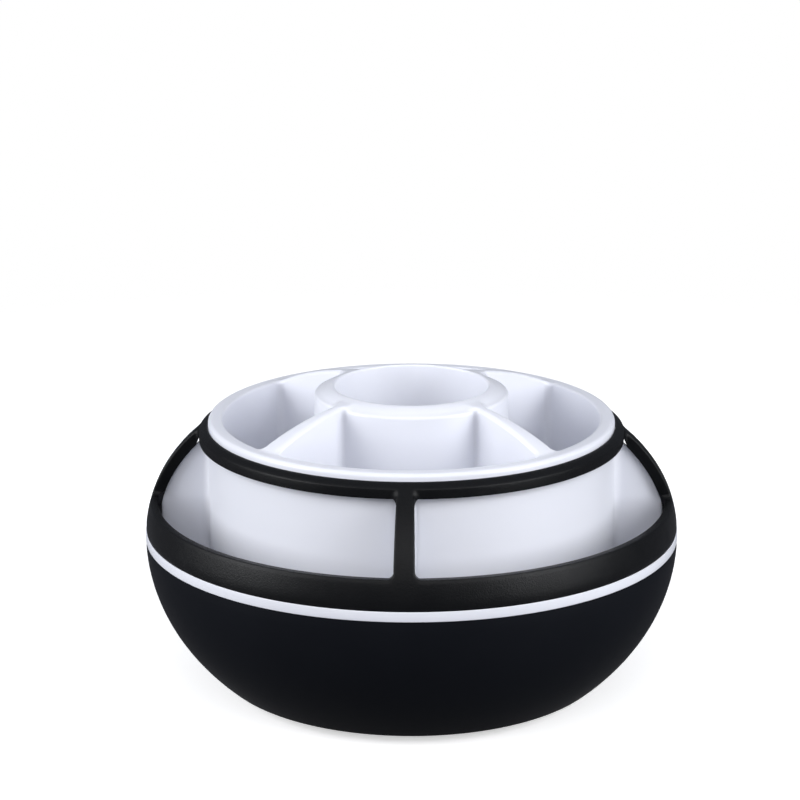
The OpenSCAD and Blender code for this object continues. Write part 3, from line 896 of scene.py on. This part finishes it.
        top_sine = sine_at(under_shell, lambda p: s.rim_r + 0.5 - p[0], 0.1, 0.95)
        low = s.pocket_floor_z - 0.3

        def inside(x, z):
            """The same distance out, kept within the bowl at that height."""
            if z > s.equator_z:
                return x
            wall = lower_point(s, (s.equator_z - z) / s.bowl_drop, s.wall + 2 * s.fit_gap)
            return min(x, wall[0] - bowl_gap)

        def top_at(r):
            """Height of a plate's top at a distance from the axis."""
            sine = sine_at(under_shell, lambda p: r - p[0], 0.02, top_sine)
            return min(under_shell(sine)[1], ring_z - s.wall - top_gap)

        half_plan = [(start, half_t + root_r)]
        half_plan += arc((s.rim_r + root_r * 0.95, half_t + root_r), root_r, 180, 270, 8)
        straight = [s.rim_r + 3 + i * 0.8 for i in range(16)]
        half_plan += [(x, half_t) for x in straight if x < end - 1]
        half_plan += arc((end - end_r, half_t - end_r), end_r, 90, 0, 4)
        plan = half_plan + [(x, -y) for x, y in reversed(half_plan)]
        for i in range(4):
            turn = Matrix.Rotation(i * QUARTER, 3, "Z")
            verts = start_loop(bm, [turn @ Vector((inside(x, low), y, low)) for x, y in plan])
            bm.faces.new(verts)
            for k in range(1, rows + 1):
                rise = [(x, y, low + (top_at(x) - low) * k / rows) for x, y in plan]
                verts = grow_loop(bm, verts, [turn @ Vector((inside(x, z), y, z))
                                              for x, y, z in rise])
            top_edges = loop_edges(verts)
            bm.faces.new(verts)
            bevel_edges(bm, top_edges, 0.3, 2)

    def screw_posts(self, bm, s):
        """Four posts below the compartments that the tray screws are driven into."""
        foot_z = node_bottom("lower_bowl") + s.wall + BOSS_H + s.fit_gap
        hole_z = node_top("tray_screws") + PILOT_END
        top_z = s.box_floor_z - s.skin / 2
        post = [(0, hole_z), (PILOT_R, hole_z), (PILOT_R, foot_z), (s.screw_post_r, foot_z),
                (s.screw_post_r, top_z), (0, top_z)]
        for i in range(4):
            lathe(bm, post, HOLE_STEPS, s.screw_circle_r, QUARTER * (i + 0.5))


class OBJECT_OT_caddy_foot(bpy.types.Operator):
    """Build the foot disc that stands on the table, and its rubber pads"""

    bl_idname = "object.caddy_foot"
    bl_label = "Foot and Pads"

    def execute(self, context):
        s = sizes()
        under_z, deck_z = node_bottom("foot_disc"), node_bottom("lower_race")
        foot_r, post_z = node_radius("foot_disc"), node_top("foot_disc")
        boss_r = s.pivot_r + s.run_gap + s.hub_wall + 0.4
        boss_z = node_top("upper_race") - 0.6
        hole_z = node_bottom("pivot_screw") - PILOT_END
        bm = bmesh.new()
        turned(bm, s, [(foot_r - 1.5, under_z, 0), (foot_r, under_z, 0.8), (foot_r, deck_z, 0.6),
                       (boss_r, deck_z, 0.4), (boss_r, boss_z, 0.5), (s.pivot_r, boss_z, 0.3),
                       (s.pivot_r, post_z, 0.4), (PILOT_R, post_z, 0.2), (PILOT_R, hole_z, 0),
                       (0, hole_z, 0)])
        pocket_gap, pad_steps = 0.05, 48
        low, high = (corner / MM for corner in NODE_BOX["foot_pad_1"])
        pocket_r, pocket_z = (high.x - low.x) / 2 + pocket_gap, high.z + pocket_gap
        pocket = [(pocket_r, under_z), (pocket_r, pocket_z), (0, pocket_z)]
        for i in range(4):
            lathe(bm, pocket, pad_steps, (low + high).xy.length / 2, QUARTER * (i + 0.5))
        fill_level(bm, under_z)
        add_piece(bm, "foot", "satin_moulded_abs", "foot", ["foot_disc"])
        for i in range(1, 5):
            node = f"foot_pad_{i}"
            low, high = (corner / MM for corner in NODE_BOX[node])
            centre, pad_r, dish = (low + high) / 2, (high.x - low.x) / 2, 0.25
            bm = bmesh.new()
            lathe(bm, rounded([(0, dish, 0), (pad_r * 0.45, dish, 0.2), (pad_r * 0.52, 0, 0.2),
                               (pad_r, 0, 0.35), (pad_r, high.z, 0.2), (0, high.z, 0)]), pad_steps)
            bmesh.ops.translate(bm, vec=(centre.x, centre.y, 0), verts=bm.verts)
            add_piece(bm, f"pad_{i}", "moulded_nitrile_rubber", "foot", [node])
        return {"FINISHED"}


class OBJECT_OT_caddy_bearing(bpy.types.Operator):
    """Give the hidden bearing pieces and screws their finish"""

    bl_idname = "object.caddy_bearing"
    bl_label = "Bearing and Screws"

    def execute(self, context):
        looks = {
            "zinc_plated_pressed_steel": ("lower_race", "upper_race", "retaining_washer"),
            "zinc_plated_screw_steel": ("lower_race_screws", "upper_race_screws", "pivot_screw",
                                        "tray_screws"),
            "polished_bearing_steel": ("bearing_balls",),
            "natural_moulded_nylon": ("ball_cage",),
        }
        for look, nodes in looks.items():
            for node in nodes:
                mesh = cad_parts[node].data
                mesh.materials.clear()
                mesh.materials.append(surface(look))
        return {"FINISHED"}


class SCENE_OT_caddy_stage(bpy.types.Operator):
    """Set up the pale floor, the soft lamps and the camera"""

    bl_idname = "scene.caddy_stage"
    bl_label = "Stage"

    def execute(self, context):
        self.floor()
        self.world(context.scene)
        self.lamp("key", (0.0, -1.1, 0.95), (1.8, 0.8), 8.2, (1.0, 0.985, 0.975))
        self.lamp("top", (0.1, 0.35, 1.2), (1.2, 1.2), 1.1, (1.0, 1.0, 1.0))
        self.lamp("left_box", (-0.98, -0.32, 0.42), (0.6, 0.8), 11, (0.97, 0.98, 1.0))
        self.lamp("right_box", (0.88, -0.5, 0.42), (0.5, 0.8), 10.2, (0.97, 0.98, 1.0))
        self.camera(context.scene)
        context.scene.view_settings.view_transform = "Standard"
        return {"FINISHED"}

    def floor(self):
        """A pale disc that keeps the soft shadow and fades into the white background."""
        bm = bmesh.new()
        bmesh.ops.create_circle(bm, cap_ends=True, segments=96, radius=0.9)
        material, tree = new_material("pale_paper_sweep")
        rays = add_node(tree, "ShaderNodeLightPath")
        place = add_node(tree, "ShaderNodeTexCoord")
        reach = add_node(tree, "ShaderNodeVectorMath", {"operation": "LENGTH"},
                         {0: place.outputs["Object"]})
        fade = add_node(tree, "ShaderNodeMapRange", {
            "interpolation_type": "SMOOTHSTEP", "From Min": 0.22, "From Max": 0.5},
            {"Value": reach.outputs["Value"]})
        paper = add_node(tree, "ShaderNodeBsdfDiffuse", {"Color": (0.9, 0.9, 0.9, 1)})
        glow = add_node(tree, "ShaderNodeEmission", {"Color": (1, 1, 1, 1), "Strength": 0.5})
        seen = add_node(tree, "ShaderNodeAddShader",
                        links={0: paper.outputs[0], 1: glow.outputs[0]})
        bounced = add_node(tree, "ShaderNodeBsdfDiffuse", {"Color": (0.16, 0.16, 0.17, 1)})
        clear = add_node(tree, "ShaderNodeBsdfTransparent")
        sweep = mix_shader(tree, rays.outputs["Is Camera Ray"], bounced, seen)
        edge = mix_shader(tree, fade.outputs["Result"], sweep, clear)
        add_node(tree, "ShaderNodeOutputMaterial", links={"Surface": edge.outputs[0]})
        floor = add_mesh(bm, "floor", material)

    def world(self, scene):
        """White behind the object; as light, a cool sky that is dark near the horizon."""
        world = bpy.data.worlds.new("studio")
        world.use_nodes = True
        tree = world.node_tree
        tree.nodes.clear()
        rays = add_node(tree, "ShaderNodeLightPath")
        seen = add_node(tree, "ShaderNodeMath", {"operation": "MAXIMUM"},
                        {0: rays.outputs["Is Camera Ray"], 1: rays.outputs["Is Transmission Ray"]})
        place = add_node(tree, "ShaderNodeTexCoord")
        split = add_node(tree, "ShaderNodeSeparateXYZ", links={0: place.outputs["Generated"]})
        rise = add_node(tree, "ShaderNodeMapRange", {
            "interpolation_type": "SMOOTHSTEP", "From Min": 0.0, "From Max": 0.9,
            "To Min": 0.12, "To Max": 0.3}, {"Value": split.outputs["Z"]})
        light = add_node(tree, "ShaderNodeBackground", {"Color": (0.82, 0.87, 1.0, 1)},
                         {"Strength": rise.outputs["Result"]})
        white = add_node(tree, "ShaderNodeBackground", {"Color": (1, 1, 1, 1), "Strength": 1.0})
        mix = mix_shader(tree, seen.outputs[0], light, white)
        add_node(tree, "ShaderNodeOutputWorld", links={"Surface": mix.outputs[0]})
        scene.world = world

    def lamp(self, name, place, size, power, tint):
        """A rectangular area lamp that faces the object."""
        light = bpy.data.lights.new(name, "AREA")
        light.shape = "RECTANGLE"
        light.size, light.size_y = size
        light.energy = power
        light.color = tint
        lamp = add_object(name, light)
        lamp.location = place
        aim = Vector((0, 0, 0.05)) - Vector(place)
        lamp.rotation_euler = aim.to_track_quat("-Z", "Y").to_euler()

    def camera(self, scene):
        """A long lens looking down at the caddy, a little round to one side of a post."""
        distance, height = 0.7, 0.27642
        turn = math.radians(1.5)
        pitch, yaw, roll = (math.radians(v) for v in (15.593, -0.259, -0.142))
        data = bpy.data.cameras.new("camera")
        focal_px, image_px, sensor_mm = 2597, 800, 36
        data.sensor_width = sensor_mm
        data.lens = focal_px * sensor_mm / image_px
        data.clip_start = 0.05
        camera = add_object("camera", data)
        camera.matrix_world = (Matrix.Rotation(turn, 4, "Z")
                               @ Matrix.Translation((0, -distance, height))
                               @ Matrix.Rotation(-yaw, 4, "Z")
                               @ Matrix.Rotation(math.pi / 2 - pitch, 4, "X")
                               @ Matrix.Rotation(roll, 4, "Z"))
        scene.camera = camera


class VIEW3D_PT_caddy(bpy.types.Panel):
    """Lists the caddy's pieces"""

    bl_label = "Desk Caddy"
    bl_idname = "VIEW3D_PT_caddy"
    bl_space_type = "VIEW_3D"
    bl_region_type = "UI"
    bl_category = "Desk Caddy"

    def draw(self, context):
        column = self.layout.column()
        for operator in PIECES:
            column.operator(operator.bl_idname)
        for group in (context.scene.caddy_sizes, context.scene.caddy_colours):
            for key in type(group).__annotations__:
                column.prop(group, key)


PIECES = (OBJECT_OT_caddy_bowl, OBJECT_OT_caddy_band, OBJECT_OT_caddy_shell, OBJECT_OT_caddy_tray,
          OBJECT_OT_caddy_foot, OBJECT_OT_caddy_bearing, SCENE_OT_caddy_stage)
CLASSES = (CaddySizes, CaddyColours, *PIECES, VIEW3D_PT_caddy)


def register():
    """Registers the classes and the scene's settings."""
    for cls in CLASSES:
        bpy.utils.register_class(cls)
    bpy.types.Scene.caddy_sizes = PointerProperty(type=CaddySizes)
    bpy.types.Scene.caddy_colours = PointerProperty(type=CaddyColours)


def unregister():
    """Removes them again."""
    del bpy.types.Scene.caddy_colours
    del bpy.types.Scene.caddy_sizes
    for cls in reversed(CLASSES):
        bpy.utils.unregister_class(cls)


def main():
    """Builds every piece and the stage."""
    register()
    for operator in PIECES:
        group, name = operator.bl_idname.split(".")
        getattr(getattr(bpy.ops, group), name)()


if __name__ == "__main__":
    main()
